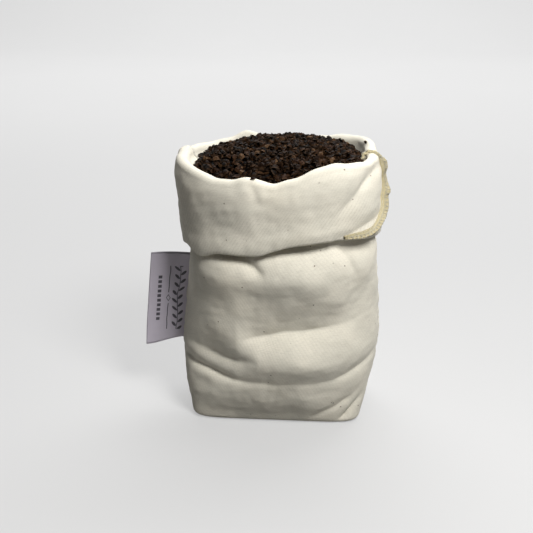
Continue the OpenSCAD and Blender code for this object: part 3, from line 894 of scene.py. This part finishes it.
def makeLabel():
    # one leaf from the seam to the fold, round it and back: a from 0 to 2 along the strip
    fold = 1 + 0.04 * np.sin(np.linspace(-pi / 2, pi / 2, 9)[1:-1])
    a = np.concatenate([np.linspace(0, 0.96, 26), fold, np.linspace(1.04, 2, 26)])[None, :]
    b = np.linspace(0, 1, 44)[:, None]
    out = 1 - np.abs(1 - a)
    low = label["bottomInner"] + (label["bottomOuter"] - label["bottomInner"]) * smoothStep(out)
    z = low + (label["top"] - low) * b
    seam, _, _, _ = clothFrame(pi, 2.0 + np.clip((z[:, :1] - 3) / 136.0, 0, 1))
    innerX = seam[..., 0] + 0.2
    outerX = curveThrough(label["outerEdge"], z)
    x = innerX + (outerX - innerX) * out
    bow = 0.5 * np.sin(2.6 * b + 0.4) * out - label["curl"] * out ** 2 * (0.45 + 0.55 * (1 - b))
    y = bow + 0.9 * np.sin(pi * out * 0.9) * (0.4 + b)
    gap = (label["leaf"] + label["gap"] * (1 + 0.8 * b)) / 2 * np.clip((1 - out) * 6, 0, 1) ** 0.5
    y = y + np.sign(a - 1) * gap
    points = np.stack(np.broadcast_arrays(x, y, z), -1)
    strip = distances(points[len(b) // 2])
    length = strip[-1]
    across = np.where(strip > length / 2, length - strip, strip)
    uv = np.stack(np.broadcast_arrays(across[None], z - label["bottomOuter"]), -1)
    piece = addMesh("foldedLabel", points.reshape(-1, 3), gridFaces(len(b), a.shape[1]),
                    uv.reshape(-1, 2))
    solid = piece.modifiers.new("thickness", "SOLIDIFY")
    solid.thickness, solid.offset = label["leaf"] * mm, 0.0
    piece.data.materials.append(labelMaterial())
    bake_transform(piece)
    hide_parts("side_label", "label_sewn_edge")


makeLabel()
print("label ready")

# the hulls

heap = {
    # angle, height of the heap's edge above the rim's middle
    "edge": [(-160, -4.0), (-120, -6.5), (-90, -7.5), (-60, -4.0), (-30, -2.0), (0, -3.0),
             (30, -1.0), (60, -3.0), (90, -3.5), (120, -3.5), (150, -4.0), (180, -4.0)],
    "crown": 6.3, "middle": (6.0, 9.0), "flatness": 2.6,
    "count": 2600, "length": (2.2, 5.2), "seed": 21,
    # angle in degrees and v of the few on the rim and on the cloth inside it
    "strays": [(-104, 3.62), (13, 3.30), (17, 2.975), (174, 2.97), (168, 2.955), (-172, 2.96),
               (-165, 2.975), (160, 2.97), (24, 2.96), (38, 3.0), (152, 2.96), (-150, 2.97)],
    "black": (0.003, 0.0016, 0.0009), "brown": (0.010, 0.0043, 0.0020),
    "red": (0.026, 0.0105, 0.004), "tan": (0.09, 0.049, 0.024),
}


def innerWall(angle, z, inset=1.3):
    # the wall's inside at a height, and so far in from the middle of the ply
    rimZ = crestZ(angle) - bag["foldRadius"] - bag["thickness"] / 2
    low = bag["baseRound"] + bag["thickness"] / 2
    v = 2.0 + np.clip((z - low) / (rimZ - low), 0.0, 1.0)
    at, normal, _, _ = clothFrame(angle, v)
    return at - inset * normal


def heapEdgeZ(angle):
    return rimMiddle + curveThrough(heap["edge"], np.degrees(angle), 360.0)


def heapPoint(angle, share):
    # from the middle of the heap out to the wall: its height falls as share ^ flatness
    edgeZ = heapEdgeZ(angle)
    edge = innerWall(angle, edgeZ)
    middle = np.array(heap["middle"])
    xy = middle + (edge[..., :2] - middle) * np.asarray(share)[..., None]
    top = rimMiddle + heap["crown"]
    z = top + (edgeZ - top) * share ** heap["flatness"]
    return np.concatenate([xy, z[..., None]], -1)


def hullMaterial(name):
    s = Shader(name, Roughness=0.7, Specular_IOR_Level=0.08)
    tone = s.attribute("tone")
    edge = s.attribute("edge")
    grain = s.noise(s.place(), 900.0, 4.0, 0.6)
    vein = s.noise(s.place(), 260.0, 2.0)
    colour = s.mix(tone.ramp(0.2, 0.62), heap["black"], heap["brown"])
    colour = s.mix(tone.ramp(0.62, 0.86), colour, heap["red"])
    colour = s.mix(tone.ramp(0.93, 0.97), colour, heap["tan"])
    colour = s.mix(edge.ramp(0.4, 1.0) * 0.35, colour, heap["tan"])
    colour = s.brighter(colour, grain * 0.9 + vein * 0.7 + 0.2)
    return s.finish(colour, grain * 0.25 + 0.45, grain, 0.12 * mm, 0.7)


def hullShape():
    # half a hull's husk: a pointed, cupped leaf with a keel, as a closed skin
    u = np.array([-0.55, 0.0, 0.55])
    width = np.sqrt(1.0 - np.abs(u) ** 1.6) * 0.5
    keel = -0.42 * (1.0 - u * u)
    rows = []
    for k in range(3):
        rows += [(u[k], -width[k], 0.0), (u[k], -width[k] * 0.45, keel[k] * 0.72),
                 (u[k], 0.0, keel[k]), (u[k], width[k] * 0.45, keel[k] * 0.72),
                 (u[k], width[k], 0.0)]
    upper = np.array(rows)
    lower = upper[[1, 2, 3, 6, 7, 8, 11, 12, 13]] - np.array((0.0, 0.0, 0.07))
    tips = np.array([(-1.0, 0.0, 0.06), (1.0, 0.0, 0.06)])
    points = np.vstack([upper, lower, tips])
    edge = np.r_[np.tile([1.0, 0.2, 0.0, 0.2, 1.0], 3), np.full(9, 0.3), 1.0, 1.0]
    faces = []
    under = {1: 15, 2: 16, 3: 17, 6: 18, 7: 19, 8: 20, 11: 21, 12: 22, 13: 23}
    for base in (0, 5):
        for j in range(4):
            a, b, c, d = base + j, base + j + 1, base + j + 6, base + j + 5
            faces.append((a, b, c, d)[::-1])
            faces.append(tuple(under.get(q, q) for q in (a, b, c, d)))
    for j in range(4):
        for tip, row, flip in ((24, 0, 1), (25, 10, -1)):
            a, b = row + j, row + j + 1
            faces.append((tip, b, a)[::flip][::-1])
            faces.append(tuple(under.get(q, q) for q in (tip, b, a)[::flip]))
    return points * np.array((0.5, 1.0, 1.0)), faces, edge


def turned(points, spin, pitch, roll):
    # the points turned about X by roll, about Y by pitch, then about Z by spin
    def about(a, i, j):
        m = np.broadcast_to(np.eye(3), (len(a), 3, 3)).copy()
        m[:, i, i] = m[:, j, j] = np.cos(a)
        m[:, i, j], m[:, j, i] = -np.sin(a), np.sin(a)
        return m
    m = about(spin, 0, 1) @ about(pitch, 2, 0) @ about(roll, 1, 2)
    return np.einsum("nij,nkj->nki", m, points)


def scatterHulls(name, places, r, tilt):
    # one husk at each place, each with its own length, width, bend, turn and tone
    n = len(places)
    shape, faces, edge = hullShape()
    low, high = heap["length"]
    length = low + (high - low) * r.beta(2.2, 2.0, n)
    width = length * r.uniform(0.48, 0.82, n)
    cup = width * r.uniform(0.5, 1.5, n)
    points = shape[None] * np.stack([length, width, cup], -1)[:, None, :]
    # tips and sides wander, so that no two husks are alike
    points += r.normal(0.0, 0.16, points.shape) * np.array((1.0, 1.0, 0.7))
    points[:, :, 2] += (points[:, :, 0] ** 2) * r.uniform(-0.10, 0.08, n)[:, None]
    flipped = np.where(r.random(n) < 0.45, pi, 0.0)
    points = turned(points, r.uniform(0, 2 * pi, n), r.normal(0, tilt, n),
                    flipped + r.normal(0, tilt, n))
    points += places[:, None, :]
    tone = np.repeat(r.random(n), len(shape))
    count = len(shape)
    every = [tuple(i + k * count for i in face) for k in range(n) for face in faces]
    return addMesh(name, points.reshape(-1, 3), every, smooth=False,
                   values={"tone": tone, "edge": np.tile(edge, n)})


huskMaterial = hullMaterial("buckwheatHusk")


def makeHeap():
    # the bulk: the wall's inside from the base up, then in over the heap with small lumps
    angle = np.linspace(-pi, pi, 121)[:-1]
    edgeZ = heapEdgeZ(angle)
    levels = np.linspace(0.0, 1.0, 30)[:, None]
    side = innerWall(angle[None, :], 4.5 + (edgeZ[None, :] - 4.5) * levels,
                     (1.3 + 2.2 * smoothStep((1.0 - levels) * 8.0))[..., None])
    over = heapPoint(angle[None, :], np.linspace(1.0, 0.04, 26)[1:, None] + 0 * angle[None, :])
    lumps = ripples(over[..., 0], over[..., 1], 5, 3.0, 9.0, 30)
    over[..., 2] += 0.45 * lumps - 0.8
    under = side[:1] * np.array((0.97, 0.97, 1.0)) - np.array((0.0, 0.0, 1.9))
    rings = np.concatenate([under, side, over])
    flat = rings.reshape(-1, 3)
    r = np.random.default_rng(8)
    piece = addMesh("hullHeap", flat, closedFaces(*rings.shape[:2]), smooth=False,
                    values={"tone": r.random(len(flat)) * 0.5, "edge": np.zeros(len(flat))})
    dress(piece, huskMaterial, "bag", "hull_filling", slot="hulls")


def makeTopHulls():
    r = np.random.default_rng(heap["seed"])
    n = heap["count"]
    angle = r.uniform(-pi, pi, n)
    share = np.sqrt(r.uniform(0.0, 1.0, n)) * 0.985
    places = heapPoint(angle, share)
    places[:, 2] += r.uniform(-0.9, 1.1, n)
    piece = scatterHulls("topHusks", places, r, 0.42)
    dress(piece, huskMaterial, "bag", "top_hulls", slot="hulls")
    spots = np.array(heap["strays"])
    at, normal, _, _ = clothFrame(np.radians(spots[:, 0]), spots[:, 1])
    piece = scatterHulls("strayHusks", at - normal * (bag["thickness"] / 2 + 0.55), r, 0.15)
    dress(piece, huskMaterial, "bag", "stray_hulls", slot="hulls")


makeHeap()
makeTopHulls()
print("hulls ready")

# what stays of the frame gets its own finish

innerCloth = innerTwillMaterial("innerTwill", (0.62, 0.57, 0.40))
innerThread = innerThreadMaterial("innerThread", (0.80, 0.75, 0.60))
for name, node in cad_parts.items():
    if node.hide_render:
        continue
    material = innerThread if "stitches" in name or "thread" in name else innerCloth
    for k in range(max(1, len(node.data.materials))):
        if node.data.materials:
            node.data.materials[k] = material
        else:
            node.data.materials.append(material)


# the floor, in metres

sweep = {
    "front": -1.2, "deep": 1.6, "radius": 0.5, "high": 1.6, "halfWidth": 2.2,
    "paper": ((0.25, 0.25, 0.25), (0.27, 0.27, 0.27)), "glow": (0.42, 0.42, 0.42),
}


def makeFloor():
    # a pale floor that turns up behind into a backdrop: flat, then a quarter circle, then a wall
    deep, radius = sweep["deep"], sweep["radius"]
    run = np.linspace(sweep["front"], deep, 12)
    bend = np.linspace(0.0, pi / 2, 16)[1:]
    y = np.r_[run, deep + radius * np.sin(bend), deep + radius]
    z = np.r_[np.zeros(12), radius * (1 - np.cos(bend)), sweep["high"]]
    x = np.array((-sweep["halfWidth"], sweep["halfWidth"]))
    points = np.stack(np.broadcast_arrays(x[None, :], y[:, None], z[:, None]), -1) * 1000.0
    piece = addMesh("floor", points.reshape(-1, 3), gridFaces(len(y), 2))
    s = Shader("paperSweep", Roughness=0.9, Specular_IOR_Level=0.1, Emission_Strength=1.0)
    paper = s.mix(s.noise(s.place(), 3.0, 2.0), *sweep["paper"])
    # even and pale where it is seen directly, and without a bounce of that on the bag
    direct = s.add("ShaderNodeLightPath", {}, [], 0)
    glow = s.mix(direct, (0.0, 0.0, 0.0), sweep["glow"])
    s.tree.links.new(glow.socket, s.surface.inputs["Emission Color"])
    piece.data.materials.append(s.finish(paper))


makeFloor()
print("floor ready")
